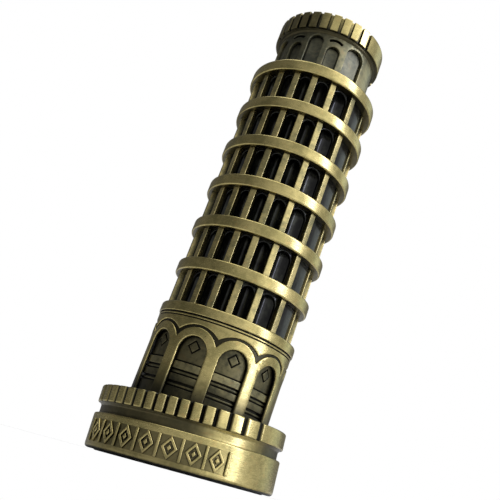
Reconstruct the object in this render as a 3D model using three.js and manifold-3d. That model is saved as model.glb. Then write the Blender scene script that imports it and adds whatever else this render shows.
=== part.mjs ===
// A leaning souvenir bell tower, 130 mm tall: cast tiers stacked on a round base, clamped by one tie rod.
//
// Millimetres, +Z up. The origin is the centre of the felt pad's underside. The front is -Y and the tower
// leans towards +X. Every tier stands in the tower group, so heights in that group are distances along the
// leaning axis. Angles are degrees from the front towards +X.
import * as THREE from "three";
import { mergeVertices } from "three/addons/utils/BufferGeometryUtils.js";
import Module from "manifold-3d";

const wasm = await Module();
wasm.setup();

// ---------------------------------------------------------------- driving dimensions
const LEAN = THREE.MathUtils.degToRad(5.1);
const AXIS_FOOT = -0.6; // where the leaning axis crosses the floor, along X
const FIT = 0.2; // gap between neighbouring castings
const ROOT = 0.05; // how far a raised detail starts inside the wall that it stands on
const ROUND = 32; // facets on a full turn

const BASE_RADIUS = 24.0;
const PAD = { radius: 21.6, thickness: 1.5, proud: 0.2 };
const PLINTH = { height: 8.25, edge: 1.5, crease: 0.45, cove: 0.4 };
const NECK = { radius: 22.95, height: 2.6 };
const BASE_RING_HEIGHT = 4.3;
const RING_GROOVES = { count: 16, pitch: 0.1168, turn: 1.2, width: 0.8, depth: 0.75 };
const FRIEZE = { lozenges: 7, pitch: 13, height: 5.2, halfWidth: 1.9, bar: 0.75, root: 0.4, depth: 0.8 };
const WEB_BOTTOM = 8.4; // underside of the plinth's web, where the nut pulls
const POCKET_GAP = 0.25; // round the tower's foot in the plinth

const CORNICE_RADIUS = 18.5;
const CORNICE_HEIGHT = 3.25;
const STOREY = 12.1; // from one cornice top to the next
const GALLERIES = 6;
const CORNICE_ROUND = 0.6;
const FIRST_CORNICE_TOP = 38.6;

const CORE_RADIUS = 15.9; // the dark wall behind the columns
const CORE_SINK = 2.0; // how far that wall is let into the first cornice
const BORE = 6.4; // the well down the middle of every core
const NICHE = { back: 14.7, share: 0.68, sill: 0.3, drop: 0.3 }; // share is of the clear width of a bay
const COLUMN = { face: 17.3, width: 1.75, pitch: 0.287 };
const SEAM = { face: 16.5, width: 1.0 }; // the slim pilaster on each parting line
const HANGER = { height: 1.3, lip: 0.15, lift: 0.15 }; // the ring that carries a row of columns

const GROUND = { face: 18.2, inner: 17.55, coreFace: 17.0, seat: 11.0 };
const ARCH = { count: 5, pitch: 34.2, halfWidth: 3.85, crown: 7.7 };
const ARCH_LINE = { outer: 8.2, inner: 6.05, peak: 4.93, thickness: 0.53, halfSpan: 5.35, depth: 0.4 };
const ARCADE_DROP = 3.7; // from the first cornice's top to the top of the arcade
const COURSES = { face: 17.35, bands: [[23.35, 20.7], [19.3, 17.65], [16.35, 14.6]] };
const LOZENGE = { halfWidth: 1.65, halfHeight: 1.75, centre: 10.2, proud: 0.25, root: 0.5 };
const CORNICE_GROOVE = 0.75;
const BEAD = { set: 0.3, bottom: 3.3, top: 3.0, above: 2.6 };

const BELFRY = { face: 14.35, inner: 13.35, coreFace: 13.15, sill: 0.8, pitch: 0.39, turn: 1.6 };
const WIDE_ARCH = { halfWidth: 1.95, crown: 123.1 };
const NARROW_ARCH = { halfWidth: 1.75, crown: 120.6 };
const EYEBROW = { outer: 4.0, inner: 3.25, peak: 122.95, thickness: 0.75, halfSpan: 2.1 };
const CROWN = { radius: 15.9, height: 5.3, bottom: 124.5, roofRadius: 12.8, roofDepth: 1.6 };
const CROWN_GROOVES = { count: 11, pitch: 11.5, width: 0.95, depth: 0.65 };
const SPIGOT_DEPTH = 1.6;
const ROD_BOSS = { radius: 4.2, depth: 7 };
const ROD_END = 0.8; // how far the rod stops below the crown's underside

const ROD_RADIUS = 2.0;
const ROD_HOLE = 2.3;
const NUT = { acrossFlats: 7, height: 3.2 };
const WASHER = { radius: 4.5, thickness: 0.8 };
const SPRING_WASHER = { radius: 3.8, thickness: 1.1, gap: 0.5 };
const THROUGH = 6; // how deep a cutter goes when it has to pass right through a wall

// ---------------------------------------------------------------- heights worked out from them
const PLINTH_BOTTOM = PAD.proud;
const PLINTH_TOP = PLINTH_BOTTOM + PLINTH.height;
const NECK_TOP = PLINTH_TOP + NECK.height;
const BASE_TOP = NECK_TOP + BASE_RING_HEIGHT;
const corniceTop = (k) => FIRST_CORNICE_TOP + (k - 1) * STOREY;
const corniceBottom = (k) => corniceTop(k) - CORNICE_HEIGHT;
const BELFRY_BOTTOM = corniceTop(GALLERIES + 1);
const CORE_BOTTOM = FIRST_CORNICE_TOP - CORE_SINK;
const below = (depth) => FIRST_CORNICE_TOP - depth;
const ARCADE_TOP = below(ARCADE_DROP);

// ---------------------------------------------------------------- materials
const metal = (color, roughness) => new THREE.MeshStandardMaterial({ color, roughness, metalness: 1 });
const brass = metal(0xa89a5c, 0.36);
const greyBrass = metal(0x70705a, 0.45);
const nicheBrass = metal(0x41413a, 0.45);
const patina = metal(0x1a1a18, 0.3);
const steel = metal(0xb4b6b8, 0.35);
const felt = new THREE.MeshStandardMaterial({ color: 0x17181a, roughness: 1, metalness: 0 });

// ---------------------------------------------------------------- solids
// A closed geometry as a solid that can be cut and joined.
function solidOf(geometry) {
  const bare = geometry.clone();
  bare.deleteAttribute("normal");
  bare.deleteAttribute("uv");
  const merged = mergeVertices(bare, 1e-4);
  const solid = new wasm.Manifold(
    new wasm.Mesh({
      numProp: 3,
      vertProperties: new Float32Array(merged.attributes.position.array),
      triVerts: new Uint32Array(merged.index.array),
    }),
  );
  if (solid.volume() < 0) throw new Error("a profile runs the wrong way round");
  return solid;
}

function geometryOf(solid) {
  const mesh = solid.getMesh();
  const geometry = new THREE.BufferGeometry();
  geometry.setAttribute("position", new THREE.BufferAttribute(new Float32Array(mesh.vertProperties), 3));
  geometry.setIndex(new THREE.BufferAttribute(new Uint32Array(mesh.triVerts), 1));
  geometry.computeVertexNormals();
  return geometry;
}

// A ring or disc turned about Z from a profile of [radius, height] points, outside going up.
function turned(profile, segments = ROUND) {
  const points = [...profile, profile[0]].map(([r, z]) => new THREE.Vector2(r, z));
  return new THREE.LatheGeometry(points, segments).rotateX(Math.PI / 2);
}

function tube(inner, outer, bottom, top, segments = ROUND) {
  return turned([[inner, bottom], [outer, bottom], [outer, top], [inner, top]], segments);
}

function disc(radius, bottom, top, segments = ROUND) {
  const geometry = new THREE.CylinderGeometry(radius, radius, top - bottom, segments);
  return geometry.rotateX(Math.PI / 2).translate(0, 0, (top + bottom) / 2);
}

// Stands a geometry drawn in (along the wall, up, outwards) on a cylinder about Z at the given angle.
function onWall(geometry, degrees, radius, height) {
  const a = THREE.MathUtils.degToRad(degrees);
  const along = new THREE.Vector3(Math.cos(a), Math.sin(a), 0);
  const up = new THREE.Vector3(0, 0, 1);
  const out = new THREE.Vector3(Math.sin(a), -Math.cos(a), 0);
  const place = new THREE.Matrix4().makeBasis(along, up, out);
  place.setPosition(out.x * radius, out.y * radius, height);
  return geometry.clone().applyMatrix4(place);
}

const leaned = (geometry) => geometry.clone().rotateY(LEAN).translate(AXIS_FOOT, 0, 0);
const extruded = (shape, depth, curveSegments = 6) =>
  new THREE.ExtrudeGeometry(shape, { depth, curveSegments, bevelEnabled: false });

const joined = (first, rest) => rest.reduce((sum, g) => sum.add(solidOf(g)), solidOf(first));
const cut = (solid, cutters) => cutters.reduce((left, g) => left.subtract(solidOf(g)), solid);

function part(name, source, material) {
  const geometry = source.isBufferGeometry ? source : geometryOf(source);
  const mesh = new THREE.Mesh(geometry, material);
  mesh.name = name;
  return mesh;
}

// ---------------------------------------------------------------- layout round the tower
// The castings come from a two-part mould that opens front and back, so what repeats round a wall keeps an
// equal pitch as seen from the front: an angle is the arcsine of its share of the radius. The back is the
// front mirrored.
const mouldAngle = (share) => THREE.MathUtils.radToDeg(Math.asin(Math.min(1, Math.max(-1, share))));
const frontAndBack = (degrees) => [...degrees, ...degrees.map((a) => 180 - a)];
const evenly = (count, pitch) => Array.from({ length: count }, (_, i) => (i - (count - 1) / 2) * pitch);

const frontColumns = evenly(7, COLUMN.pitch).map(mouldAngle);
const columnAngles = frontAndBack(frontColumns);
const seamAngles = [-90, 90];

// ---------------------------------------------------------------- shapes drawn on a wall
// An arched opening, its foot at height 0 and its crown at the given height. The head is round unless it
// has a rise of its own.
function archShape(halfWidth, crown, rise = halfWidth) {
  const shape = new THREE.Shape();
  shape.moveTo(-halfWidth, 0);
  shape.lineTo(halfWidth, 0);
  shape.lineTo(halfWidth, crown - rise);
  shape.absellipse(0, crown - rise, halfWidth, rise, 0, Math.PI, false, 0);
  shape.closePath();
  return shape;
}

// A curved strip with its peak at height 0: its upper edge an arc of one radius and its lower edge, the
// thickness further down at the peak, an arc of another.
function arcStrip({ outer, inner, thickness, halfSpan }) {
  const upper = Math.acos(halfSpan / outer);
  const lower = Math.acos(halfSpan / inner);
  const shape = new THREE.Shape();
  shape.absarc(0, -outer, outer, upper, Math.PI - upper, false);
  shape.absarc(0, -thickness - inner, inner, Math.PI - lower, lower, true);
  return shape;
}

function lozengeShape(halfWidth, halfHeight) {
  return new THREE.Shape([
    new THREE.Vector2(halfWidth, 0),
    new THREE.Vector2(0, halfHeight),
    new THREE.Vector2(-halfWidth, 0),
    new THREE.Vector2(0, -halfHeight),
  ]);
}

// The plan of a ring whose rim is cut by upright grooves at the given angles, drawn from the front round.
function groovedPlan(radius, angles, { width, depth }) {
  const facet = 8; // degrees

  const half = THREE.MathUtils.radToDeg(Math.asin(width / 2 / radius));
  const at = (r, degrees) => {
    const a = THREE.MathUtils.degToRad(degrees - 90);
    return new THREE.Vector2(r * Math.cos(a), r * Math.sin(a));
  };
  const turns = angles.map((a) => (a + 360) % 360).sort((a, b) => a - b);
  const points = [];
  turns.forEach((angle, i) => {
    const next = i + 1 < turns.length ? turns[i + 1] : turns[0] + 360;
    points.push(at(radius, angle - half), at(radius - depth, angle - half));
    points.push(at(radius - depth, angle + half), at(radius, angle + half));
    const span = next - angle - 2 * half;
    const steps = Math.ceil(span / facet);
    for (let s = 1; s < steps; s++) points.push(at(radius, angle + half + (span * s) / steps));
  });
  return new THREE.Shape(points);
}

// ---------------------------------------------------------------- base
function feltPad() {
  return disc(PAD.radius, 0, PAD.thickness);
}

// Raised lozenges and bars in a row round the front and the back of the plinth.
function plinthFrieze() {
  const { pitch, height, depth } = FRIEZE;
  const middle = (PLINTH_BOTTOM + PLINTH_TOP) / 2;
  const root = BASE_RADIUS - FRIEZE.root;
  const lozenge = extruded(lozengeShape(FRIEZE.halfWidth, height / 2), depth);
  const bar = new THREE.BoxGeometry(FRIEZE.bar, height, depth).translate(0, 0, depth / 2);
  const lozenges = frontAndBack(evenly(FRIEZE.lozenges, pitch)).map((a) => onWall(lozenge, a, root, middle));
  const bars = frontAndBack(evenly(FRIEZE.lozenges + 1, pitch)).map((a) => onWall(bar, a, root, middle));
  return [...lozenges, ...bars];
}

// A thick round casting with a slanted seat for the tower on top and, below it, a web that the rod pulls on.
function plinth() {
  const { edge, crease, cove } = PLINTH;
  const body = turned([
    [0, PLINTH_BOTTOM],
    [BASE_RADIUS - edge, PLINTH_BOTTOM],
    [BASE_RADIUS - edge / 3, PLINTH_BOTTOM + edge / 3],
    [BASE_RADIUS, PLINTH_BOTTOM + edge],
    [BASE_RADIUS, PLINTH_TOP - crease],
    [BASE_RADIUS - crease, PLINTH_TOP],
    [NECK.radius + cove, PLINTH_TOP],
    [NECK.radius, PLINTH_TOP + cove],
    [NECK.radius, NECK_TOP - cove],
    [NECK.radius + cove, NECK_TOP],
    [0, NECK_TOP],
  ]);
  const boss = leaned(disc(GROUND.face - 2 * POCKET_GAP, WEB_BOTTOM, GROUND.seat));
  const pocket = leaned(disc(GROUND.face + POCKET_GAP, GROUND.seat, BASE_TOP));
  const padRecess = disc(PAD.radius + FIT, -1, PAD.thickness + FIT);
  const counterbore = leaned(disc(BORE, -1, WEB_BOTTOM, 24));
  const rodHole = leaned(disc(ROD_HOLE, 0, BASE_TOP, 16));
  return cut(joined(body, [boss, ...plinthFrieze()]), [pocket, padRecess, counterbore, rodHole]);
}

// The ribbed ring round the tower's foot. Its bore leans with the tower.
function baseRing() {
  const { count, pitch, turn } = RING_GROOVES;
  const grooves = frontAndBack(evenly(count, pitch).map((share) => mouldAngle(share) + turn));
  const bottom = NECK_TOP + FIT;
  const plan = groovedPlan(BASE_RADIUS, grooves, RING_GROOVES);
  const ribbed = extruded(plan, BASE_TOP - bottom).translate(0, 0, bottom);
  const bore = leaned(disc(GROUND.face + POCKET_GAP, 0, 2 * BASE_TOP));
  return cut(solidOf(ribbed), [bore]);
}

// ---------------------------------------------------------------- ground floor
// Depths on this floor are measured down from its cornice's top.
const archAngles = frontAndBack(evenly(ARCH.count, ARCH.pitch));

// The pierced outer wall: ten round arches, each with an incised line round its head.
function groundFloorArcade() {
  const foot = GROUND.seat + FIT;
  const wall = tube(GROUND.inner, GROUND.face, foot, ARCADE_TOP);
  const opening = extruded(archShape(ARCH.halfWidth, below(ARCH.crown) - foot + 1), THROUGH, 5);
  const openings = archAngles.map((a) => onWall(opening, a, GROUND.face - THROUGH / 2, foot - 1));
  const groove = extruded(arcStrip(ARCH_LINE), THROUGH, 5);
  const floor = GROUND.face - ARCH_LINE.depth;
  const grooves = archAngles.map((a) => onWall(groove, a, floor, below(ARCH_LINE.peak)));
  return cut(solidOf(wall), [...openings, ...grooves]);
}

// The dark wall behind the arches, with string courses below and a lozenge in each arch head.
function groundFloorCore() {
  const foot = GROUND.seat + FIT;
  const face = GROUND.coreFace;
  const profile = [[BORE, foot], [face, foot]];
  for (const [low, high] of COURSES.bands) {
    profile.push([face, below(low)], [COURSES.face, below(low)]);
    profile.push([COURSES.face, below(high)], [face, below(high)]);
  }
  profile.push([face, ARCADE_TOP], [BORE, ARCADE_TOP]);
  const { root, proud } = LOZENGE;
  const lozenge = extruded(lozengeShape(LOZENGE.halfWidth, LOZENGE.halfHeight), root + proud);
  const lozenges = archAngles.map((a) => onWall(lozenge, a, face - root, below(LOZENGE.centre)));
  return joined(turned(profile), lozenges);
}

// The flat band over the arches, with a bead between two grooves under it and a sunk seat for the core.
function groundFloorCornice() {
  const top = FIRST_CORNICE_TOP;
  const r = CORNICE_RADIUS;
  const groove = r - CORNICE_GROOVE;
  const bead = r - BEAD.set;
  return turned([
    [BORE, ARCADE_TOP + FIT],
    [groove, ARCADE_TOP + FIT],
    [groove, below(BEAD.bottom)],
    [bead, below(BEAD.bottom)],
    [bead, below(BEAD.top)],
    [groove, below(BEAD.top)],
    [groove, below(BEAD.above)],
    [r, below(BEAD.above)],
    [r, top - CORNICE_ROUND],
    [r - CORNICE_ROUND, top],
    [CORE_RADIUS + FIT, top],
    [CORE_RADIUS + FIT, CORE_BOTTOM],
    [BORE, CORE_BOTTOM],
  ]);
}

// ---------------------------------------------------------------- galleries
// One black tube behind all six galleries, with an arched niche in every bay but those on the parting lines.
function galleryCore() {
  const tubeWall = tube(BORE, CORE_RADIUS, CORE_BOTTOM + FIT, BELFRY_BOTTOM);
  const columnHalf = THREE.MathUtils.radToDeg(Math.asin(COLUMN.width / 2 / COLUMN.face));
  const niches = [];
  for (const [i, left] of frontColumns.slice(0, -1).entries()) {
    const right = frontColumns[i + 1];
    const clear = THREE.MathUtils.degToRad(right - left - 2 * columnHalf) * CORE_RADIUS;
    for (let k = 1; k <= GALLERIES; k++) {
      const foot = corniceTop(k) + NICHE.sill;
      const shape = archShape((NICHE.share * clear) / 2, corniceBottom(k + 1) - NICHE.drop - foot);
      const niche = extruded(shape, THROUGH, 2);
      niches.push(...frontAndBack([(left + right) / 2]).map((a) => onWall(niche, a, NICHE.back, foot)));
    }
  }
  return cut(solidOf(tubeWall), niches);
}

// Fourteen square columns and two slim pilasters, hanging from a ring that the next cornice hides.
function colonnade(k) {
  const inner = CORE_RADIUS + FIT;
  const foot = corniceTop(k) + FIT;
  const ringFoot = corniceBottom(k + 1) + HANGER.lift;
  const height = ringFoot + HANGER.height / 2 - foot;
  const back = inner + ROOT;
  const upright = ({ face, width }) =>
    new THREE.BoxGeometry(width, height, face - back).translate(0, height / 2, (face - back) / 2);
  const ring = tube(inner, COLUMN.face + HANGER.lip, ringFoot, ringFoot + HANGER.height);
  return joined(ring, [
    ...columnAngles.map((a) => onWall(upright(COLUMN), a, back, foot)),
    ...seamAngles.map((a) => onWall(upright(SEAM), a, back, foot)),
  ]);
}

// A flat band with rounded edges, rebated inside for the colonnade's ring.
function cornice(k) {
  const top = corniceTop(k);
  const bottom = corniceBottom(k);
  const r = CORNICE_RADIUS;
  const ceiling = bottom + HANGER.lift + HANGER.height + FIT;
  const rebate = COLUMN.face + HANGER.lip + FIT;
  return turned([
    [rebate, bottom],
    [r - CORNICE_ROUND, bottom],
    [r, bottom + CORNICE_ROUND],
    [r, top - CORNICE_ROUND],
    [r - CORNICE_ROUND, top],
    [CORE_RADIUS + FIT, top],
    [CORE_RADIUS + FIT, ceiling],
    [rebate, ceiling],
  ]);
}

// ---------------------------------------------------------------- belfry and crown
function belfryCore() {
  return tube(BORE, BELFRY.coreFace, BELFRY_BOTTOM + FIT, CROWN.bottom - FIT);
}

// Wide arches in turn with narrow, lower ones, each narrow one under a curved slot.
function belfryArcade() {
  const foot = BELFRY_BOTTOM + FIT;
  const wall = tube(BELFRY.inner, BELFRY.face, foot, CROWN.bottom - FIT);
  const sill = foot + BELFRY.sill;
  const start = BELFRY.face - THROUGH / 2;
  const cutters = [];
  for (const [i, share] of evenly(5, BELFRY.pitch).entries()) {
    const kind = i % 2 ? NARROW_ARCH : WIDE_ARCH;
    const angle = mouldAngle(share);
    const halfWidth = kind.halfWidth / Math.cos(THREE.MathUtils.degToRad(angle));
    const opening = extruded(archShape(halfWidth, kind.crown - sill, kind.halfWidth), THROUGH, 4);
    const slot = extruded(arcStrip(EYEBROW), THROUGH, 3);
    for (const a of frontAndBack([angle + BELFRY.turn])) {
      cutters.push(onWall(opening, a, start, sill));
      if (kind === NARROW_ARCH) cutters.push(onWall(slot, a, start, EYEBROW.peak));
    }
  }
  return cut(solidOf(wall), cutters);
}

// The ribbed cap, with a sunk roof and a blind boss that the tie rod screws into.
function crown() {
  const bottom = CROWN.bottom;
  const top = bottom + CROWN.height;
  const grooves = frontAndBack(evenly(CROWN_GROOVES.count, CROWN_GROOVES.pitch));
  const plan = groovedPlan(CROWN.radius, grooves, CROWN_GROOVES);
  const ribbed = extruded(plan, CROWN.height).translate(0, 0, bottom);
  const spigot = disc(BORE - FIT, bottom - SPIGOT_DEPTH, bottom + 0.5);
  const boss = disc(ROD_BOSS.radius, bottom - ROD_BOSS.depth, bottom + 0.5, 24);
  const roof = disc(CROWN.roofRadius, top - CROWN.roofDepth, top + 1);
  const thread = disc(ROD_RADIUS + FIT, bottom - ROD_BOSS.depth - 1, bottom - ROD_END + FIT, 16);
  return cut(joined(ribbed, [spigot, boss]), [roof, thread]);
}

// ---------------------------------------------------------------- tie rod and its fastening
const WASHER_TOP = WEB_BOTTOM - FIT;
const SPRING_TOP = WASHER_TOP - WASHER.thickness - FIT;
const NUT_TOP = SPRING_TOP - SPRING_WASHER.thickness - FIT;

function tieRod() {
  return disc(ROD_RADIUS, NUT_TOP - NUT.height + FIT, CROWN.bottom - ROD_END, 16);
}

function flatWasher() {
  return tube(ROD_RADIUS + FIT, WASHER.radius, WASHER_TOP - WASHER.thickness, WASHER_TOP, 24);
}

// A split ring: a tube with one slot cut through it.
function springWasher() {
  const { radius, thickness, gap } = SPRING_WASHER;
  const ring = tube(ROD_RADIUS + FIT, radius, SPRING_TOP - thickness, SPRING_TOP, 24);
  const slot = new THREE.BoxGeometry(radius, gap, radius).translate(radius, 0, SPRING_TOP);
  return cut(solidOf(ring), [slot]);
}

function hexNut() {
  const body = disc(NUT.acrossFlats / Math.sqrt(3), NUT_TOP - NUT.height, NUT_TOP, 6);
  const hole = disc(ROD_RADIUS + FIT, NUT_TOP - NUT.height - 1, NUT_TOP + 1, 16);
  return cut(solidOf(body), [hole]);
}

// ---------------------------------------------------------------- assembly
const model = new THREE.Group();
model.add(part("felt_pad", feltPad(), felt));
model.add(part("plinth", plinth(), brass));
model.add(part("base_ring", baseRing(), brass));

const tower = new THREE.Group();
tower.rotation.y = LEAN;
tower.position.x = AXIS_FOOT;
model.add(tower);

tower.add(part("ground_floor_core", groundFloorCore(), nicheBrass));
tower.add(part("ground_floor_arcade", groundFloorArcade(), brass));
tower.add(part("cornice_1", groundFloorCornice(), brass));
tower.add(part("gallery_core", galleryCore(), patina));
for (let k = 1; k <= GALLERIES; k++) {
  tower.add(part(`colonnade_${k}`, colonnade(k), brass));
  tower.add(part(`cornice_${k + 1}`, cornice(k + 1), brass));
}
tower.add(part("belfry_core", belfryCore(), patina));
tower.add(part("belfry_arcade", belfryArcade(), greyBrass));
tower.add(part("crown", crown(), brass));
tower.add(part("tie_rod", tieRod(), steel));
tower.add(part("flat_washer", flatWasher(), steel));
tower.add(part("spring_washer", springWasher(), steel));
tower.add(part("hex_nut", hexNut(), steel));

export default model;
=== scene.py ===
"""A leaning bell tower souvenir in antique bronze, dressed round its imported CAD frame.

Lengths are millimetres until a mesh is built, which makes them metres. Leaning pieces are
drawn upright in the tower's own frame, with Z up its axis, and their objects carry the lean.
Angles run from the front (-Y) towards +X.
"""
import math

import bmesh
import bpy
from mathutils import Matrix, Vector
from mathutils.geometry import tessellate_polygon


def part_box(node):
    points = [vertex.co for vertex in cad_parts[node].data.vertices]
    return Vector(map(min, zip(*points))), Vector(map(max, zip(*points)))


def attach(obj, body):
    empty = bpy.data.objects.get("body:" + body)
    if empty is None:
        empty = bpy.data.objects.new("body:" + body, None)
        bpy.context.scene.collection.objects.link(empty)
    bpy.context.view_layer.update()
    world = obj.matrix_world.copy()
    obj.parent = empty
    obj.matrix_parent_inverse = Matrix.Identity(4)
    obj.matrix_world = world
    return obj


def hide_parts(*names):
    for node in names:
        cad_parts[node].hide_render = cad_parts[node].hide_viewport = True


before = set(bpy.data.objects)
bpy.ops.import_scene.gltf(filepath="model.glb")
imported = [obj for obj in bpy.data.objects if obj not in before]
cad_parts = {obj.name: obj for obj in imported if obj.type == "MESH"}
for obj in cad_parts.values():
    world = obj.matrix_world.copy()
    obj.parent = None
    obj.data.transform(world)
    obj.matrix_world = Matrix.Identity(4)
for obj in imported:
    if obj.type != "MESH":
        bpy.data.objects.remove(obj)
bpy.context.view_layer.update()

MM = 0.001
FINE = 192  # facets on a full turn
ARC_STEP = 0.3  # length of the steps along an arc
SLICE = 0.9  # width of the strips that a slab is bent in
WELD = 0.003  # points closer than this are one
SHARP = math.radians(38)  # edges that turn further than this stay crisp


# ---------------------------------------------------------------- measures taken from the frame
def middle(node):
    low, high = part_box(node)
    return (Vector(low) + Vector(high)) / 2 / MM


def top_of(node):
    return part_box(node)[1][2] / MM


GALLERIES = 6
step_up = (middle("cornice_7") - middle("cornice_2")) / (GALLERIES - 1)
AXIS = step_up.normalized()
STOREY = step_up.length
LEAN = math.atan2(AXIS.x, AXIS.z)
AXIS_FOOT = middle("cornice_2").x - middle("cornice_2").z * math.tan(LEAN)
TOWER = Matrix.Translation((AXIS_FOOT * MM, 0, 0)) @ Matrix.Rotation(LEAN, 4, "Y")
UPRIGHT = Matrix.Identity(4)

CORNICE_RADIUS = 18.5
CORNICE_HEIGHT = 3.25
FIRST_TOP = middle("cornice_2").z / AXIS.z + CORNICE_HEIGHT / 2 - STOREY
BASE_RADIUS = 24.0
PAD_TOP = top_of("felt_pad")
PLINTH_FOOT = 0.2
BASE_TOP = top_of("base_ring")
RING_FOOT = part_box("base_ring")[0][2] / MM
NECK_RADIUS = 22.95
NECK_HEIGHT = 2.6
PLINTH_TOP = RING_FOOT - NECK_HEIGHT
GROUND_RADIUS = 18.2
ARCH_HALF_WIDTH = 3.85
ARCADE_TOP = FIRST_TOP - 3.7
COLUMN_FACE = 17.3
COLUMN_WIDTH = 1.72
PILASTER_FACE = 16.45
PILASTER_WIDTH = 1.0
DRUM_RADIUS = 15.9
BELFRY_RADIUS = 14.35
BELFRY_FOOT = FIRST_TOP + GALLERIES * STOREY
BELFRY_INNER = 13.35
CROWN_RADIUS = 15.9
CROWN_FOOT = 124.5
CROWN_TOP = 129.8


def cornice_top(k):
    return FIRST_TOP + (k - 1) * STOREY


def cornice_foot(k):
    return cornice_top(k) - CORNICE_HEIGHT


# ---------------------------------------------------------------- layout of the two-part mould
def evenly(count, pitch):
    return [(i - (count - 1) / 2) * pitch for i in range(count)]


def mould_angle(share):
    return math.degrees(math.asin(max(-1, min(1, share))))


def front_and_back(angles):
    """The back mirrors the front."""
    return list(angles) + [180 - a for a in angles]


COLUMN_PITCH = 0.287  # as a share of the radius
front_columns = [mould_angle(share) for share in evenly(7, COLUMN_PITCH)]
seams = [-90, 90]
ARCH_PITCH = 34.2
front_arches = evenly(5, ARCH_PITCH)


# ---------------------------------------------------------------- outlines
def rounded(corners, steps=4):
    """A closed polyline through (x, y, radius) corners, each eased by about its radius."""
    points = []
    for i, (x, y, radius) in enumerate(corners):
        corner = Vector((x, y))
        back = Vector(corners[i - 1][:2]) - corner
        ahead = Vector(corners[(i + 1) % len(corners)][:2]) - corner
        if radius == 0:
            points.append(corner)
            continue
        reach = radius / math.tan(back.angle(ahead) / 2)
        reach = min(reach, 0.49 * back.length, 0.49 * ahead.length)
        start = corner + back.normalized() * reach
        end = corner + ahead.normalized() * reach
        for s in range(steps + 1):
            t = s / steps
            points.append(start * (1 - t) ** 2 + corner * 2 * t * (1 - t) + end * t**2)
    return points


def arc(x, y, radius, start, end):
    """Points on an arc between two angles in radians."""
    count = max(3, math.ceil(abs(end - start) * radius / ARC_STEP))
    turns = [start + (end - start) * i / count for i in range(count + 1)]
    return [Vector((x + radius * math.cos(t), y + radius * math.sin(t))) for t in turns]


def line(start, end, step=1.0):
    """Points from start up to but without end."""
    start, end = Vector(start), Vector(end)
    count = max(1, math.ceil((end - start).length / step))
    return [start.lerp(end, i / count) for i in range(count)]


def arched_hole(x, foot, half_width, crown, rise=None):
    """An arched opening, drawn clockwise as a hole, with a round head unless a rise is given."""
    rise = rise or half_width
    spring = crown - rise
    round_head = arc(x, 0, half_width, math.pi, 0)
    head = [Vector((p.x, spring + p.y * rise / half_width)) for p in round_head]
    return line((x - half_width, foot), (x - half_width, spring)) + head + line(
        (x + half_width, spring - 0.5), (x + half_width, foot)
    ) + line((x + half_width, foot), (x - half_width, foot))


def rectangle(left, foot, right, top):
    return [Vector(corner) for corner in ((left, foot), (right, foot), (right, top), (left, top))]


def lozenge(x, y, half_width, half_height, hole=False):
    corners = [(x + half_width, y), (x, y + half_height), (x - half_width, y), (x, y - half_height)]
    if hole:
        corners.reverse()
    points = []
    for i, corner in enumerate(corners):
        points += line(corner, corners[(i + 1) % 4], 0.6)
    return points


# ---------------------------------------------------------------- solids, as (points, faces)
def skin(rings, count):
    """The faces between neighbouring rings of count points, closed round the axis."""
    faces = []
    for s in range(rings):
        near, far = s * count, (s + 1) % rings * count
        for i in range(count):
            j = (i + 1) % count
            faces.append((near + i, far + i, far + j, near + j))
    return faces


def lathe(profile):
    """A profile of (radius, height) points closed on itself, turned about Z."""
    points = []
    for s in range(FINE):
        turn = 2 * math.pi * s / FINE
        points += [(r * math.sin(turn), -r * math.cos(turn), z) for r, z in profile]
    return points, skin(FINE, len(profile))


def fluted_lathe(profile, angles, cut, cut_from, inner_shift=None):
    """A lathe whose points beyond cut_from are drawn in by cut(angle).

    The points inside it can be shifted in X, by inner_shift(height).
    """
    points = []
    for degrees in angles:
        turn = math.radians(degrees)
        for r, z in profile:
            inside = r < cut_from
            radius = r if inside else r - cut(degrees)
            shift = inner_shift(z) if inner_shift and inside else 0
            points.append((shift + radius * math.sin(turn), -radius * math.cos(turn), z))
    return points, skin(len(angles), len(profile))


def groove_plan(centres, radius, width, depth, flank, drawn=False):
    """The angles to sample round a grooved ring, and how deep it is cut at any angle.

    Each side of a groove rises over a flank on either side of its edge. Grooves drawn along the
    mould's opening widen towards its sides.
    """
    steepest = 0.55  # least share of the width that a groove shows from the mould's opening

    def slant(centre):
        return max(steepest, abs(math.cos(math.radians(centre)))) if drawn else 1

    half = {c: width / 2 / slant(c) for c in centres}
    per_mm = 180 / math.pi / radius

    def past_edge(degrees):
        """How far an angle lies outside the nearest groove, in mm."""
        return min(abs((degrees - c + 180) % 360 - 180) / per_mm - half[c] for c in centres)

    def cut(degrees):
        t = max(0, min(1, (flank - past_edge(degrees)) / (2 * flank)))
        return depth * t * t * (3 - 2 * t)

    edge = [flank * t for t in (-1, -0.5, 0, 0.5, 1)]
    angles = {c + side * (half[c] + e) * per_mm for c in centres for e in edge for side in (-1, 1)}
    plain = {a for a in range(0, 360, 3) if past_edge(a) > 2 * flank}
    return sorted({round(a % 360, 4) for a in angles | set(centres) | plain}), cut


def inset(loop, distance, on_seam):
    """The loop moved to its left by a distance, except along its seams."""
    moved = []
    for i, p in enumerate(loop):
        before, after = loop[i - 1], loop[(i + 1) % len(loop)]
        first = (p - before).normalized()
        second = (after - p).normalized()
        n1 = Vector((-first.y, first.x))
        n2 = Vector((-second.y, second.x))
        d1 = 0 if on_seam(before, p) else distance
        d2 = 0 if on_seam(p, after) else distance
        spread = n1.x * n2.y - n1.y * n2.x
        if abs(spread) < 0.2 and d1 == d2:
            moved.append(p + (n1 + n2).normalized() * d1)
        else:
            moved.append(p + Vector((d1 * n2.y - d2 * n1.y, d2 * n1.x - d1 * n2.x)) / spread)
    return moved


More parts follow.
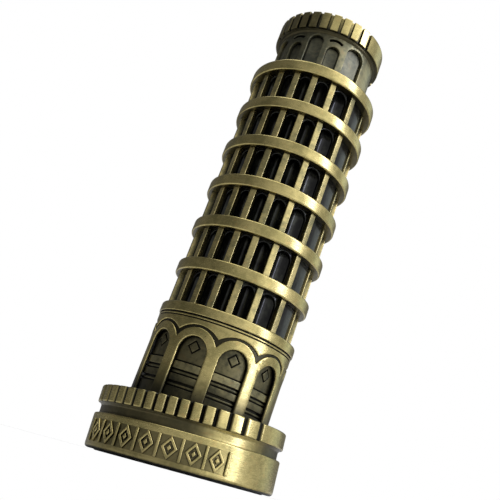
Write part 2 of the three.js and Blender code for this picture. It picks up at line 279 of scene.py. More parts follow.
def slab(loops, thickness, rim, open_at=None, steps=3):
    """A slab from an outline and clockwise holes, its front rim rounded.

    Its sides at x = +-open_at stay open.
    """

    def on_seam(p, q):
        return open_at is not None and all(abs(abs(v.x) - open_at) < 1e-4 for v in (p, q))

    turns = [math.pi / 2 * k / steps for k in range(steps + 1)]
    shoulder = thickness - rim
    levels = [(0, 0)] + [(rim * (1 - math.cos(t)), shoulder + rim * math.sin(t)) for t in turns]
    points, faces, rings = [], [], []
    for depth, height in levels:
        ring = []
        for loop in loops:
            ring.append(range(len(points), len(points) + len(loop)))
            points += [(p.x, p.y, height) for p in inset(loop, depth, on_seam)]
        rings.append(ring)
    for low, high in zip(rings, rings[1:]):
        for loop, a, b in zip(loops, low, high):
            for i in range(len(loop)):
                j = (i + 1) % len(loop)
                if not on_seam(loop[i], loop[j]):
                    faces.append((a[i], a[j], b[j], b[i]))
    for ring in (rings[0], rings[-1]):
        flat = [[Vector((points[i][0], points[i][1], 0)) for i in part] for part in ring]
        index = [i for part in ring for i in part]
        faces += [tuple(index[i] for i in triangle) for triangle in tessellate_polygon(flat)]
    return points, faces


def bent(solid, face_radius, inner_radius, turns):
    """A slab sliced upright and bent round the axis, once for each turn in degrees."""
    bm = bmesh.new()
    made = [bm.verts.new(p) for p in solid[0]]
    for face in solid[1]:
        bm.faces.new([made[i] for i in face])
    left = min(p[0] for p in solid[0])
    right = max(p[0] for p in solid[0])
    cuts = max(1, round((right - left) / SLICE))
    for i in range(1, cuts):
        plane = Vector((left + (right - left) * i / cuts, 0, 0))
        everything = bm.verts[:] + bm.edges[:] + bm.faces[:]
        bmesh.ops.bisect_plane(bm, geom=everything, dist=1e-5, plane_co=plane, plane_no=(1, 0, 0))
    bm.verts.index_update()
    flat = [v.co.copy() for v in bm.verts]
    sliced = [[v.index for v in f.verts] for f in bm.faces]
    bm.free()
    points, faces = [], []
    for degrees in turns:
        shift = len(points)
        for p in flat:
            turn = p.x / face_radius + math.radians(degrees)
            radius = inner_radius + p.z
            points.append((radius * math.sin(turn), -radius * math.cos(turn), p.y))
        faces += [[i + shift for i in face] for face in sliced]
    return points, faces


def stood(solid, degrees, radius, height):
    """A slab stood flat against a cylinder, its back at the radius and its foot at the height."""
    turn = math.radians(degrees)
    along = Vector((math.cos(turn), math.sin(turn), 0))
    out = Vector((math.sin(turn), -math.cos(turn), 0))
    points = [along * x + out * (radius + z) + Vector((0, 0, y + height)) for x, y, z in solid[0]]
    return points, solid[1]


# ---------------------------------------------------------------- pieces
def piece(name, node, slot, solids, matrix=TOWER, finish=None, polish_and_light=None):
    """One object from its solids, standing for a CAD node and riding on the root.

    Its last argument takes (radius, height, angle) and gives how bare a point is, from 0 in patina
    to 1: partly wear, and partly painted light and shade, brighter on sides towards the key light
    and darker under ledges.
    """
    whole = bmesh.new()
    for points, faces in solids:
        part = bmesh.new()
        made = [part.verts.new(Vector(p) * MM) for p in points]
        for face in faces:
            part.faces.new([made[i] for i in face])
        bmesh.ops.remove_doubles(part, verts=part.verts, dist=WELD * MM)
        bmesh.ops.recalc_face_normals(part, faces=part.faces)
        scratch = bpy.data.meshes.new("scratch")
        part.to_mesh(scratch)
        part.free()
        whole.from_mesh(scratch)
        bpy.data.meshes.remove(scratch)
    mesh = bpy.data.meshes.new(name)
    whole.to_mesh(mesh)
    whole.free()
    mesh.shade_smooth()
    mesh.set_sharp_from_angle(angle=SHARP)
    # The attribute holds wear together with painted light and shade.
    light_and_wear = mesh.attributes.new("polish_and_light", "FLOAT", "POINT")
    for vertex, value in zip(mesh.vertices, light_and_wear.data):
        x, y, z = vertex.co / MM
        angle = math.degrees(math.atan2(x, -y))
        value.value = polish_and_light(math.hypot(x, y), z, angle) if polish_and_light else 1.0
    mesh.materials.append(MATERIALS[finish or slot])
    obj = bpy.data.objects.new(name, mesh)
    obj.matrix_world = matrix
    bpy.context.scene.collection.objects.link(obj)
    smooth = obj.modifiers.new("even_normals", "WEIGHTED_NORMAL")
    smooth.keep_sharp = True
    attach(obj, "root")
    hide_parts(node)


# ---------------------------------------------------------------- materials
class Graph:
    """A material's node tree, built with one call per node."""

    def __init__(self, name):
        self.material = bpy.data.materials.new(name)
        self.material.use_nodes = True
        self.tree = self.material.node_tree
        self.tree.nodes.clear()

    def node(self, kind, inputs=(), **settings):
        made = self.tree.nodes.new("ShaderNode" + kind)
        for key, value in settings.items():
            setattr(made, key, value)
        for key, value in dict(inputs).items():
            if isinstance(value, bpy.types.NodeSocket):
                self.tree.links.new(value, made.inputs[key])
            else:
                made.inputs[key].default_value = value
        return made

    def math(self, operation, a, b):
        return self.node("Math", {0: a, 1: b}, operation=operation).outputs[0]

    def scaled(self, vector, by):
        return self.node("VectorMath", {0: vector, 1: by}, operation="MULTIPLY").outputs[0]

    def noise(self, vector, detail, roughness=0.5):
        settings = {"Vector": vector, "Scale": 1.0, "Detail": detail, "Roughness": roughness}
        return self.node("TexNoise", settings).outputs["Fac"]

    def step(self, value, low, high):
        """Eases from 0 at low to 1 at high."""
        ends = {"Value": value, "From Min": low, "From Max": high}
        return self.node("MapRange", ends, interpolation_type="SMOOTHSTEP").outputs["Result"]

    def mix(self, factor, a, b):
        made = self.node("Mix", {0: factor, 6: a, 7: b}, data_type="RGBA")
        return made.outputs[2]

    def place(self):
        """Where a point is on its object, in mm."""
        return self.scaled(self.node("TexCoord").outputs["Object"], (1000, 1000, 1000))

    def bump(self, height, strength, reach):
        settings = {"Height": height, "Strength": strength, "Distance": reach * MM}
        return self.node("Bump", settings).outputs[0]

    def principled(self, tone, gloss, bump, **extra):
        settings = {"Base Color": tone, "Roughness": gloss, "Normal": bump}
        settings.update({key.replace("_", " ").title(): value for key, value in extra.items()})
        return self.surface(self.node("BsdfPrincipled", settings))

    def surface(self, shader):
        output = self.node("OutputMaterial")
        self.tree.links.new(shader.outputs[0], output.inputs["Surface"])
        return self.material


def eased(value, low, high):
    """0 at low, 1 at high."""
    t = max(0, min(1, (value - low) / (high - low)))
    return t * t * (3 - 2 * t)


def colour(r, g, b):
    return (r, g, b, 1.0)


def antique(name, polished, dull, patina_and_shade, rough, shadow, corners=1.0):
    """Plated casting, brushed round: bare where the per-point attribute says (wear, plus painted
    light and shade), with patina in the corners that is partly painted shade, also near the floor.

    shadow is how far the patina and its painted shade reach out of a corner, in mm, and corners how
    strongly.
    """
    g = Graph(name)
    place = g.place()
    clouds = g.noise(g.scaled(place, (0.16, 0.16, 0.16)), 4)
    mottle = g.noise(g.scaled(place, (0.9, 0.9, 0.9)), 5, 0.6)
    brush = g.noise(g.scaled(place, (0.25, 0.25, 7.0)), 4, 0.65)
    grain = g.noise(g.scaled(place, (9, 9, 9)), 2)
    blend = g.math("ADD", g.math("MULTIPLY", clouds, 0.6), g.math("MULTIPLY", mottle, 0.4))
    tone = g.mix(g.step(blend, 0.36, 0.62), dull, polished)
    streak = g.step(brush, 0.3, 0.75)
    tone = g.mix(g.math("MULTIPLY", streak, 0.28), tone, colour(*[c * 0.55 for c in dull[:3]]))
    warm = g.step(g.noise(g.scaled(place, (0.55, 0.55, 0.8)), 3), 0.58, 0.72)
    copper = colour(polished[0], polished[1] * 0.72, polished[2] * 0.6)
    tone = g.mix(g.math("MULTIPLY", warm, 0.22), tone, copper)

    # Ambient occlusion: patina in the hollows, and also painted shade in corners, under ledges and
    # near the floor.
    wide = g.node("AmbientOcclusion", {"Distance": shadow * MM}, samples=8).outputs["AO"]
    tight = g.node("AmbientOcclusion", {"Distance": 0.45 * MM}, samples=8).outputs["AO"]
    open_and_unshaded = g.math("MULTIPLY", g.step(wide, 0.3, 0.9), g.step(tight, 0.35, 0.85))
    ragged = g.math("ADD", open_and_unshaded, g.math("MULTIPLY", g.math("SUBTRACT", mottle, 0.5), 0.35))
    polish_and_light = g.node("Attribute", attribute_name="polish_and_light").outputs["Fac"]
    bare_and_unshaded = g.math("ADD", 1.0 - corners, g.math("MULTIPLY", g.step(ragged, 0.1, 0.75), corners))
    clean_and_lit = g.math("MULTIPLY", bare_and_unshaded, polish_and_light)
    # Painted shade and light: the tone falls to the patina colour where occluded or where the
    # attribute paints shade.
    tone = g.mix(clean_and_lit, patina_and_shade, tone)

    cells = g.node("TexVoronoi", {"Vector": place, "Scale": 0.75}).outputs["Distance"]
    sparse = g.step(g.noise(g.scaled(place, (0.3, 0.3, 0.3)), 2), 0.55, 0.65)
    pit = g.math("MULTIPLY", g.math("SUBTRACT", 1.0, g.step(cells, 0.05, 0.14)), sparse)
    tone = g.mix(g.math("MULTIPLY", pit, 0.8), tone, patina_and_shade)

    height = g.math("ADD", g.math("MULTIPLY", brush, 0.5), g.math("MULTIPLY", grain, 0.3))
    height = g.math("ADD", height, g.math("MULTIPLY", mottle, 1.2))
    height = g.math("SUBTRACT", height, g.math("MULTIPLY", pit, 2.0))
    bump = g.bump(height, strength=0.35, reach=0.03)
    gloss = g.math("ADD", rough, g.math("MULTIPLY", g.math("SUBTRACT", brush, 0.5), 0.22))
    gloss = g.math("ADD", gloss, g.math("MULTIPLY", g.math("SUBTRACT", 1.0, clean_and_lit), 0.1))
    return g.principled(tone, gloss, bump, metallic=1.0)


def black_patina(name):
    """Thick glossy blackening with a thin olive bloom."""
    g = Graph(name)
    place = g.place()
    bloom = g.noise(g.scaled(place, (0.5, 0.5, 0.3)), 4, 0.6)
    grain = g.noise(g.scaled(place, (6, 6, 6)), 3)
    tone = g.mix(g.step(bloom, 0.4, 0.7), colour(0.008, 0.008, 0.008), colour(0.034, 0.036, 0.028))
    bump = g.bump(grain, strength=0.2, reach=0.03)
    gloss = g.math("ADD", 0.3, g.math("MULTIPLY", bloom, 0.16))
    return g.principled(tone, gloss, bump, metallic=1.0, coat_weight=0.35, coat_roughness=0.1)


def plated_steel(name):
    """Zinc plating with faint spangle."""
    g = Graph(name)
    place = g.place()
    spangle = g.node("TexVoronoi", {"Vector": place, "Scale": 1.4}).outputs["Color"]
    cloud = g.noise(g.scaled(place, (0.8, 0.8, 0.8)), 4)
    tone = g.mix(g.step(cloud, 0.35, 0.65), colour(0.5, 0.51, 0.53), colour(0.68, 0.69, 0.7))
    tone = g.mix(0.06, tone, spangle)
    gloss = g.math("ADD", 0.22, g.math("MULTIPLY", cloud, 0.2))
    bump = g.bump(cloud, strength=0.2, reach=0.02)
    return g.principled(tone, gloss, bump, metallic=1.0)


def pressed_felt(name):
    """Matted black fibres with paler lint."""
    g = Graph(name)
    place = g.place()
    fibre = g.noise(g.scaled(place, (5, 5, 5)), 6, 0.7)
    matting = g.noise(g.scaled(place, (0.7, 0.7, 0.7)), 4)
    lint = g.step(g.noise(g.scaled(place, (3, 9, 3)), 3), 0.66, 0.74)
    tone = g.mix(g.step(matting, 0.35, 0.65), colour(0.008, 0.008, 0.01), colour(0.02, 0.02, 0.024))
    tone = g.mix(g.math("MULTIPLY", lint, 0.3), tone, colour(0.16, 0.16, 0.17))
    bump = g.bump(fibre, strength=0.8, reach=0.2)
    gloss = g.math("ADD", 0.82, g.math("MULTIPLY", fibre, 0.15))
    return g.principled(tone, gloss, bump, sheen_weight=0.4, sheen_roughness=0.5)


MATERIALS = {
    "bronze": antique(
        "antique_bronze",
        polished=colour(0.60, 0.50, 0.21),
        dull=colour(0.36, 0.31, 0.125),
        patina_and_shade=colour(0.02, 0.02, 0.016),
        rough=0.27,
        shadow=1.8,
    ),
    "column_bronze": antique(
        "column_bronze",
        polished=colour(0.60, 0.50, 0.22),
        dull=colour(0.24, 0.22, 0.11),
        patina_and_shade=colour(0.05, 0.052, 0.035),
        rough=0.27,
        shadow=0.65,
        corners=0.0,
    ),
    "grey_bronze": antique(
        "grey_bronze",
        polished=colour(0.40, 0.36, 0.20),
        dull=colour(0.17, 0.17, 0.11),
        patina_and_shade=colour(0.035, 0.037, 0.028),
        rough=0.38,
        shadow=1.6,
    ),
    "niche_bronze": antique(
        "niche_bronze",
        polished=colour(0.34, 0.30, 0.15),
        dull=colour(0.10, 0.098, 0.06),
        patina_and_shade=colour(0.01, 0.01, 0.008),
        rough=0.3,
        shadow=0.9,
    ),
    "dull_patina": antique(
        "dull_patina",
        polished=colour(0.15, 0.145, 0.095),
        dull=colour(0.07, 0.072, 0.055),
        patina_and_shade=colour(0.01, 0.01, 0.01),
        rough=0.42,
        shadow=1.0,
    ),
    "black_patina": black_patina("black_patina"),
    "zinc_plated_steel": plated_steel("plated_steel"),
    "felt": pressed_felt("pressed_felt"),
}


# ---------------------------------------------------------------- base
def felt_pad():
    edge = 21.6
    profile = rounded([(0, 0, 0), (edge, 0, 0.5), (edge, PAD_TOP, 0.3), (0, PAD_TOP, 0)])
    piece("felt_disc", "felt_pad", "felt", [lathe(profile)], UPRIGHT)


def frieze(radius):
    """Lozenges and bars in turn, in relief, on the front and the back."""
    pitch = math.radians(13) * radius
    half_length = math.radians(45.5) * radius
    half_height = 2.6
    height = (PLINTH_FOOT + PLINTH_TOP) / 2
    sunk, proud = 0.4, 0.9  # how deep a relief sits in the drum, and how thick it is
    half_bar = 0.36
    ground = rectangle(-half_length, height - half_height, half_length, height + half_height)
    reliefs = [slab([ground], sunk + 0.03, 0.01)]
    for x in evenly(7, pitch):
        outer = lozenge(x, height, 1.9, half_height)
        inner = lozenge(x, height, 1.15, half_height - 1.05, hole=True)
        reliefs.append(slab([outer, inner], proud, 0.2))
        reliefs.append(slab([lozenge(x, height, 0.5, 0.7)], proud, 0.15))
    for x in evenly(8, pitch):
        corners = rectangle(x - half_bar, height - half_height, x + half_bar, height + half_height)
        reliefs.append(slab([rounded([(c.x, c.y, 0.3) for c in corners])], proud, 0.2))
    return [bent(relief, radius, radius - sunk, (turn,)) for relief in reliefs for turn in (0, 180)]


def plinth():
    foot, top, neck = PLINTH_FOOT, PLINTH_TOP, RING_FOOT
    recess, ceiling = 21.9, PAD_TOP + 0.3  # for the pad
    body = rounded([
        (0, ceiling, 0),
        (recess, ceiling, 0),
        (recess, foot, 0.2),
        (BASE_RADIUS, foot, 1.7),
        (BASE_RADIUS, top, 1.1),
        (NECK_RADIUS + 0.1, top, 0),
        (NECK_RADIUS, top + 0.5, 0.5),
        (NECK_RADIUS, neck - 0.6, 0.6),
        (NECK_RADIUS + 0.5, neck, 0),
        (17, neck, 0),
        (0, neck, 0),
    ])

    def polish_and_light(radius, height, angle):
        # The neck: dark, with a painted highlight on its right, towards the key light.
        if radius < BASE_RADIUS - 0.3 and height > top - 0.1:
            return 0.15 + 0.75 * eased(angle, 20, 40) * (1 - eased(angle, 58, 75))
        # Painted shade: darker towards the foot, except on the side towards the key light.
        lit_side = eased(angle, 15, 40) * (1 - eased(angle, 110, 150))
        foot_shade = 0.45 * (1 - eased(height, foot + 1, foot + 5)) * (1 - lit_side)
        in_frieze_ground = BASE_RADIUS + 0.01 < radius < BASE_RADIUS + 0.1
        fade = eased(min(abs(angle), 180 - abs(angle)), 34, 45)
        return 0.3 + 0.7 * fade if in_frieze_ground else 1 - foot_shade

    solids = [lathe(body)] + frieze(BASE_RADIUS)
    piece("plinth_casting", "plinth", "bronze", solids, UPRIGHT, polish_and_light=polish_and_light)


def base_ring():
    """The ribbed ring. Its bore follows the leaning tower."""
    askew = 1.2  # degrees that the grooves are turned off the front
    grooves = front_and_back([mould_angle(share) + askew for share in evenly(16, 0.1168)])
    angles, cut = groove_plan(grooves, BASE_RADIUS, width=0.6, depth=0.75, flank=0.36, drawn=True)
    bore = GROUND_RADIUS + 0.12
    profile = rounded([
        (bore, RING_FOOT, 0),
        (BASE_RADIUS, RING_FOOT, 0.35),
        (BASE_RADIUS, BASE_TOP, 0.4),
        (bore, BASE_TOP, 0.15),
    ])

    def lean_shift(height):
        return AXIS_FOOT + height * math.tan(LEAN)

    def polish_and_light(radius, height, angle):
        on_ledge = radius < BASE_RADIUS - 2 and height > BASE_TOP - 0.3
        return 0.3 if on_ledge else max(0, 1 - (BASE_RADIUS - radius) / 0.4)

    ring = fluted_lathe(profile, angles, cut, BASE_RADIUS - 1.0, lean_shift)
    piece("ribbed_ring", "base_ring", "bronze", [ring], UPRIGHT, polish_and_light=polish_and_light)


# ---------------------------------------------------------------- ground floor
def below(depth):
    return FIRST_TOP - depth


def scallop_slot(centres, pitch):
    """The line cut over all the arch heads, thin at each peak, as one clockwise hole."""
    outer, inner = 8.2, 6.05  # radii of its upper and lower edge
    outer_peak, inner_peak = 4.93, 5.46
    outer_centre, inner_centre = below(outer_peak + outer), below(inner_peak + inner)
    tip = math.acos(pitch / 2 / outer)
    notch = math.acos((pitch / 2 - 0.07) / inner)
    over, under = [], []
    for x in centres[:-1]:
        over += arc(x, outer_centre, outer, math.pi - tip, tip)[:-1]
    over += arc(centres[-1], outer_centre, outer, math.pi - tip, tip)
    for x in reversed(centres):
        under += arc(x, inner_centre, inner, notch, math.pi - notch)
    return over + under


def arcade_outline(centres, half_width, foot, spring, top, half_turn):
    points = line((-half_turn, foot), (centres[0] - half_width, foot))
    for i, x in enumerate(centres):
        points += line((x - half_width, foot), (x - half_width, spring))
        points += arc(x, spring, half_width, math.pi, 0)
        points += line((x + half_width, spring - 0.4), (x + half_width, foot))
        after = centres[i + 1] - half_width if i + 1 < len(centres) else half_turn
        points += line((x + half_width, foot), (after, foot))
    points += [Vector((half_turn, foot)), Vector((half_turn, top)), Vector((-half_turn, top))]
    return points


def ground_floor_arcade():
    """A pierced wall in two layers, so that the line over the arches has a floor."""
    half_turn = math.pi / 2 * GROUND_RADIUS
    pitch = math.radians(ARCH_PITCH) * GROUND_RADIUS
    centres = evenly(5, pitch)
    foot, spring = BASE_TOP - 3, below(11.55)
    inner, layer = 17.55, 17.85
    slot = scallop_slot(centres, pitch)
    reveal = ARCH_HALF_WIDTH - 0.05
    face = arcade_outline(centres, ARCH_HALF_WIDTH, foot, spring, ARCADE_TOP, half_turn)
    back = arcade_outline(centres, reveal, foot, spring, ARCADE_TOP, half_turn)
    front = slab([face, slot], GROUND_RADIUS - layer + 0.05, 0.28, half_turn)
    rear = slab([back], layer - inner, 0.05, half_turn, 1)

    def polish_and_light(radius, height, angle):
        if radius < layer + 0.05:
            return 0.05
        # Darker towards the bottom.
        return 0.05 + 0.95 * eased(height, below(23), below(14))

    piece("arcade_wall", "ground_floor_arcade", "bronze", [
        bent(front, GROUND_RADIUS, layer - 0.05, (0, 180)),
        bent(rear, GROUND_RADIUS, inner, (0, 180)),
    ], polish_and_light=polish_and_light)


def ground_floor_core():
    """The wall behind the arches: panels with an incised lozenge over rows of mouldings."""
    hollow, back, face = 12, 16.65, 17.05
    # each is (foot, top, proud), with its heights measured down from the first cornice's top
    courses = [
        (23.15, 20.5, 0.3), (20.15, 19.65, 0.1), (19.1, 17.45, 0.3), (17.1, 16.55, 0.1),
        (16.15, 14.4, 0.3),
    ]
    foot = below(23.4)
    corners = [(hollow, foot, 0), (back, foot, 0)]
    for low, high, proud in courses:
        out = face + proud
        corners += [(back, below(low), 0), (out, below(low), 0.15)]
        corners += [(out, below(high), 0.15), (back, below(high), 0)]
    corners += [(back, ARCADE_TOP, 0), (hollow, ARCADE_TOP, 0)]
    wall = lathe(rounded(corners, 3))
    half_turn = math.pi / 2 * face
    height = below(10.2)
    centres = [math.radians(a) * face for a in front_arches]
    outline = rectangle(-half_turn, below(14.0), half_turn, ARCADE_TOP)
    holes = [lozenge(x, height, 1.75, 1.8, hole=True) for x in centres]
    panel = bent(slab([outline] + holes, face - back, 0.1, half_turn), face, back, (0, 180))
    diamonds = [
        bent(slab([lozenge(x, height, 1.3, 1.35)], face - back + 0.1, 0.12), face, back, (turn,))
        for x in centres for turn in (0, 180)
    ]

    def polish_and_light(radius, height, angle):
        # Proud courses grow darker towards the bottom.
        if radius > face + 0.2:
            return 0.2 + 0.8 * eased(height, below(20), below(14.5))
        return 0.45 if radius > face - 0.05 else 0.1

    solids = [wall, panel] + diamonds
    piece("niche_wall", "ground_floor_core", "niche_bronze", solids, polish_and_light=polish_and_light)


def ground_floor_cornice():
    r = CORNICE_RADIUS
    bead, groove, hollow = r - 0.25, r - 0.7, 12
    profile = rounded([
        (hollow, ARCADE_TOP, 0),
        (groove, ARCADE_TOP, 0),
        (groove, below(3.4), 0),
        (bead, below(3.35), 0.12),
        (bead, below(3.0), 0.12),
        (groove, below(2.95), 0),
        (groove, below(2.65), 0),
        (r, below(2.6), 0.25),
        (r, FIRST_TOP, 0.6),
        (hollow, FIRST_TOP, 0),
    ])

    def polish_and_light(radius, height, angle):
        return 0.0 if radius < groove + 0.05 and height < below(2.6) else 1.0

    piece("cornice_band_1", "cornice_1", "bronze", [lathe(profile)], polish_and_light=polish_and_light)


# ---------------------------------------------------------------- galleries
def cornice(k):
    inner, foot, top = 15.5, cornice_foot(k), cornice_top(k)
    profile = rounded([
        (inner, foot, 0),
        (CORNICE_RADIUS, foot, 0.5),
        (CORNICE_RADIUS, top, 0.6),
        (inner, top, 0),
    ], 5)

    def polish_and_light(radius, height, angle):
        # Painted shade: the underside is darkened.
        return 0.2 if height < foot + 0.02 else 1.0

    piece(f"cornice_band_{k}", f"cornice_{k}", "bronze", [lathe(profile)], polish_and_light=polish_and_light)


def colonnade(k):
    """Square columns between two cornices, with a slim pilaster on each parting line."""
    back = 15.7
    height = cornice_foot(k + 1) - cornice_top(k)

    def upright(half, face):
        return slab([rectangle(-half, 0, half, height)], face - back, 0.2)

    def polish_and_light(radius, height, angle):
        return 0.1 if radius < back + 0.1 else 1.0

    column = upright(COLUMN_WIDTH / 2, COLUMN_FACE)
    pilaster = upright(PILASTER_WIDTH / 2, PILASTER_FACE)
    solids = [stood(column, angle, back, cornice_top(k)) for angle in front_and_back(front_columns)]
    solids += [stood(pilaster, angle, back, cornice_top(k)) for angle in seams]
    piece(f"columns_{k}", f"colonnade_{k}", "bronze", solids, finish="column_bronze", polish_and_light=polish_and_light)


def bay_arches():
    """The centre and half-width of each front arch, along the drum.

    An arch takes up nearly its whole bay. The bays at the seams are plain.
    """
    half_share = 0.47
    half_column = math.asin(COLUMN_WIDTH / 2 / COLUMN_FACE)
    arches = []
    for left, right in zip(front_columns, front_columns[1:]):
        clear = (math.radians(right - left) - 2 * half_column) * DRUM_RADIUS
        arches.append((math.radians((left + right) / 2) * DRUM_RADIUS, half_share * clear))
    return arches


def concave_drum(arches, radius, face, hollow, foot, top):
    """A drum hollowed behind each arch, and flat from one arch to the next.

    radius is the one that the arches are laid out on.
    """
    bore, half_count = 10.0, 6
    depths = {}
    for turn, side in ((0, 1), (180, -1)):
        for x, half in arches:
            for i in range(-half_count, half_count + 1):
                t = i / half_count
                degrees = round((math.degrees((side * x + t * half) / radius) + turn) % 360, 4)
                depths[degrees] = hollow * (1 - t * t)

    def cut(degrees):
        return depths[degrees]

    profile = [(bore, foot), (face, foot), (face, top), (bore, top)]
    return fluted_lathe(profile, sorted(depths), cut, bore + 1)


def gallery_core():
    half_turn = math.pi / 2 * DRUM_RADIUS
    back, hollow = 15.2, 1.2
    arches = bay_arches()
    solids = [concave_drum(arches, DRUM_RADIUS, back, hollow, FIRST_TOP - 1, BELFRY_FOOT - 0.2)]
    for k in range(1, GALLERIES + 1):
        foot, top = cornice_top(k) - 0.2, cornice_foot(k + 1) + 0.1
        outline = rectangle(-half_turn, foot, half_turn, top)
        holes = [arched_hole(x, foot + 0.3, half, cornice_foot(k + 1) - 0.3) for x, half in arches]
        wall = slab([outline] + holes, DRUM_RADIUS - back, 0.2, half_turn)
        solids.append(bent(wall, DRUM_RADIUS, back, (0, 180)))
    piece("gallery_drum", "gallery_core", "black_patina", solids)


# ---------------------------------------------------------------- belfry and crown
SILL = BELFRY_FOOT + 0.9
NARROW_ARCH = 1.9  # its half-width


def belfry_arches():
    """Wide and narrow arches across the front, as (x, half-width, crown height)."""
    askew = 1.6  # degrees that the arches are turned off the front
    angles = [mould_angle(share) + askew for share in evenly(5, 0.39)]
    tall, low = 123.1, 120.6
    kinds = [(3.05, tall), (NARROW_ARCH, low), (2.1, tall), (NARROW_ARCH, low), (3.05, tall)]
    return [(math.radians(a) * BELFRY_RADIUS, half, head) for a, (half, head) in zip(angles, kinds)]


def belfry_arcade():
    """Each narrow arch has a curved slot over it. The back mirrors the front."""
    half_turn = math.pi / 2 * BELFRY_RADIUS
    outline = rectangle(-half_turn, BELFRY_FOOT, half_turn, CROWN_FOOT)
    start, end = math.radians(121.7), math.radians(58.3)
    slot_centre, slot_outer, slot_inner = 118.95, 4.0, 3.25
    walls = []
    for turn, side in ((0, 1), (180, -1)):
        holes = []
        for x, half, crown_height in belfry_arches():
            holes.append(arched_hole(side * x, SILL, half, crown_height, min(half, 2.1)))
            if half == NARROW_ARCH:
                over = arc(side * x, slot_centre, slot_outer, start, end)
                under = arc(side * x, slot_centre, slot_inner, end, start)
                holes.append(over + under)
        wall = slab([outline] + holes, BELFRY_RADIUS - BELFRY_INNER, 0.22, half_turn)
        walls.append(bent(wall, BELFRY_RADIUS, BELFRY_INNER, (turn,)))

    def polish_and_light(radius, height, angle):
        # Painted light: brighter on the side towards the key light, dimmer on the other.
        return 0.35 + 0.65 * eased(math.sin(math.radians(angle)), 0.17, 0.87)

    piece("belfry_wall", "belfry_arcade", "grey_bronze", walls, polish_and_light=polish_and_light)


def belfry_core():
    arches = [(x, half) for x, half, _ in belfry_arches()]
    face, hollow = 13.4, 0.25
    drum = concave_drum(arches, BELFRY_RADIUS, face, hollow, BELFRY_FOOT, CROWN_FOOT)
    piece("belfry_drum", "belfry_core", "black_patina", [drum], finish="dull_patina")


def crown():
    """The ribbed cap with a coved underside and a sunk roof."""
    grooves = front_and_back(evenly(11, 11.5))
    angles, cut = groove_plan(grooves, CROWN_RADIUS, width=0.9, depth=0.65, flank=0.09)
    roof_radius, roof = 12.8, CROWN_TOP - 1.6
    profile = rounded([
        (0, CROWN_FOOT - 0.2, 0),
        (BELFRY_RADIUS - 0.3, CROWN_FOOT - 0.2, 0),
        (BELFRY_RADIUS - 0.1, CROWN_FOOT - 0.9, 0),
        (BELFRY_RADIUS + 0.45, CROWN_FOOT - 0.45, 0.3),
        (CROWN_RADIUS - 0.95, CROWN_FOOT, 0.1),
        (CROWN_RADIUS, CROWN_FOOT, 0.25),
        (CROWN_RADIUS, CROWN_TOP, 0.35),
        (roof_radius, CROWN_TOP, 0.3),
        (roof_radius, roof, 0.2),
        (6, roof, 0),
        (0, roof, 0),
    ])
    ring = fluted_lathe(profile, angles, cut, CROWN_RADIUS - 0.9)

    def polish_and_light(radius, height, angle):
        # Painted shade under the coved underside.
        if height < CROWN_FOOT + 0.02:
            return 0.1
        if radius < roof_radius + 0.4:
            return 0.9
        # Painted light: the ribs are bright on the side towards the key light and dull on the
        # other; in the grooves patina is multiplied on.
        light_and_wear = 0.3 + 0.7 * eased(math.sin(math.radians(angle)), -0.04, 0.28)
        in_groove = radius > CROWN_RADIUS - 1 and height < CROWN_TOP - 0.5
        return light_and_wear * max(0, 1 - (CROWN_RADIUS - radius) / 0.5) if in_groove else light_and_wear

    piece("crown_cap", "crown", "bronze", [ring], polish_and_light=polish_and_light)


felt_pad()
plinth()
base_ring()
ground_floor_core()
ground_floor_arcade()
ground_floor_cornice()
gallery_core()
for storey in range(1, GALLERIES + 1):
    colonnade(storey)
    cornice(storey + 1)
belfry_core()
belfry_arcade()
crown()
for fastening in ("tie_rod", "flat_washer", "spring_washer", "hex_nut"):
    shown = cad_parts[fastening]
    shown.data.materials.clear()
    shown.data.materials.append(MATERIALS["zinc_plated_steel"])


# ---------------------------------------------------------------- floor, light and camera
def studio_floor():
    bpy.ops.mesh.primitive_circle_add(vertices=96, radius=1.5, fill_type="NGON")
    floor = bpy.context.object
    floor.name = "studio_floor"
    g = Graph("pale_floor")
    g.surface(g.node("BsdfDiffuse", {"Color": colour(0.75, 0.75, 0.75)}))
    floor.data.materials.append(g.material)


def direction(azimuth, elevation):
    """The way out from the tower at an azimuth and an elevation, in degrees."""
    a, e = math.radians(azimuth), math.radians(elevation)
    return Vector((math.sin(a) * math.cos(e), -math.cos(a) * math.cos(e), math.sin(e)))


def softbox(name, azimuth, elevation, distance, size, watts, tint=(1, 1, 1)):
    """A rectangular light aimed at the middle of the tower, placed in degrees and metres."""
    light = bpy.data.lights.new(name, "AREA")
    light.shape = "RECTANGLE"
    light.size, light.size_y = size
    light.energy = watts
    light.color = tint
    obj = bpy.data.objects.new(name, light)
    outward = direction(azimuth, elevation)
    target = Vector((0.005, 0, 0.065))
    obj.location = target + outward * distance
    obj.rotation_euler = outward.to_track_quat("Z", "Y").to_euler()
    bpy.context.scene.collection.objects.link(obj)


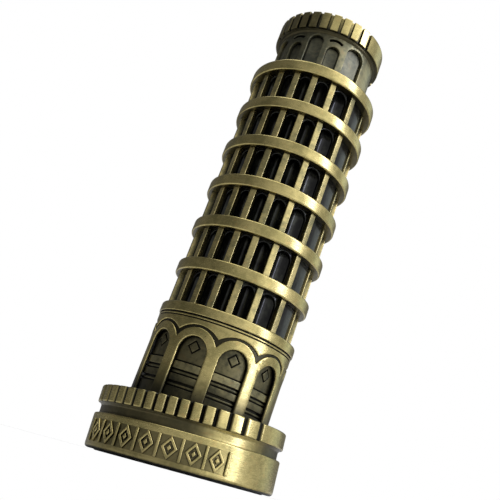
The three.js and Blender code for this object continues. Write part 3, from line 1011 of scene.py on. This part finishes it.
def world_light(bright_azimuth, bright_elevation, dim, bright, falloff):
    """A room that is bright on one side and dim on the other. The camera sees it white."""
    world = bpy.data.worlds.new("room")
    bpy.context.scene.world = world
    world.use_nodes = True
    tree = world.node_tree
    tree.nodes.clear()

    def add(kind, operation=None):
        made = tree.nodes.new("ShaderNode" + kind)
        if operation:
            made.operation = operation
        return made

    wrap = 0.35  # how far the bright side reaches round
    facing = add("VectorMath", "DOT_PRODUCT")
    facing.inputs[1].default_value = direction(bright_azimuth, bright_elevation)
    share = add("MapRange")
    share.inputs["From Min"].default_value = -wrap
    lobe = add("Math", "POWER")
    lobe.inputs[1].default_value = falloff
    room = add("MapRange")
    room.inputs["To Min"].default_value = dim
    room.inputs["To Max"].default_value = bright
    path = add("LightPath")
    strength = add("MapRange")
    strength.inputs["To Max"].default_value = 1.0
    background = add("Background")
    background.inputs["Color"].default_value = colour(1, 1, 1)
    tree.links.new(add("TexCoord").outputs["Generated"], facing.inputs[0])
    tree.links.new(facing.outputs["Value"], share.inputs["Value"])
    tree.links.new(share.outputs["Result"], lobe.inputs[0])
    tree.links.new(lobe.outputs[0], room.inputs["Value"])
    tree.links.new(path.outputs["Is Camera Ray"], strength.inputs["Value"])
    tree.links.new(room.outputs["Result"], strength.inputs["To Min"])
    tree.links.new(strength.outputs["Result"], background.inputs["Strength"])
    tree.links.new(background.outputs[0], add("OutputWorld").inputs["Surface"])


def camera(position, azimuth, elevation, roll, lens):
    """Looks from the position (mm) back along an azimuth and up, rolled anticlockwise."""
    ahead = -direction(azimuth, -elevation)
    level = ahead.cross(Vector((0, 0, 1))).normalized()
    above = level.cross(ahead)
    turn = math.radians(roll)
    right = level * math.cos(turn) + above * math.sin(turn)
    up = above * math.cos(turn) - level * math.sin(turn)
    data = bpy.data.cameras.new("camera")
    data.lens = lens
    data.sensor_width = 36
    data.clip_start = 0.05
    obj = bpy.data.objects.new("camera", data)
    obj.matrix_world = Matrix((right, up, -ahead)).transposed().to_4x4()
    obj.matrix_world.translation = Vector(position) * MM
    bpy.context.scene.collection.objects.link(obj)
    bpy.context.scene.camera = obj


studio_floor()
world_light(bright_azimuth=66, bright_elevation=10, dim=0.16, bright=0.95, falloff=1.7)
softbox("key_strip", 82, 22, distance=0.5, size=(0.09, 0.6), watts=1.4, tint=(0.95, 0.97, 1.2))
softbox("key_spill", 56, 22, distance=0.5, size=(0.2, 0.6), watts=0.25)
softbox("right_fill", 140, 15, distance=0.5, size=(0.2, 0.5), watts=0.2, tint=(0.85, 1.0, 0.95))
softbox("top", 20, 85, distance=0.6, size=(0.6, 0.6), watts=2.2)
camera(
    position=(63.98, -169.05, 0.01), azimuth=19.857, elevation=18.708, roll=15.29, lens=49.68,
)
bpy.context.scene.view_settings.view_transform = "Standard"
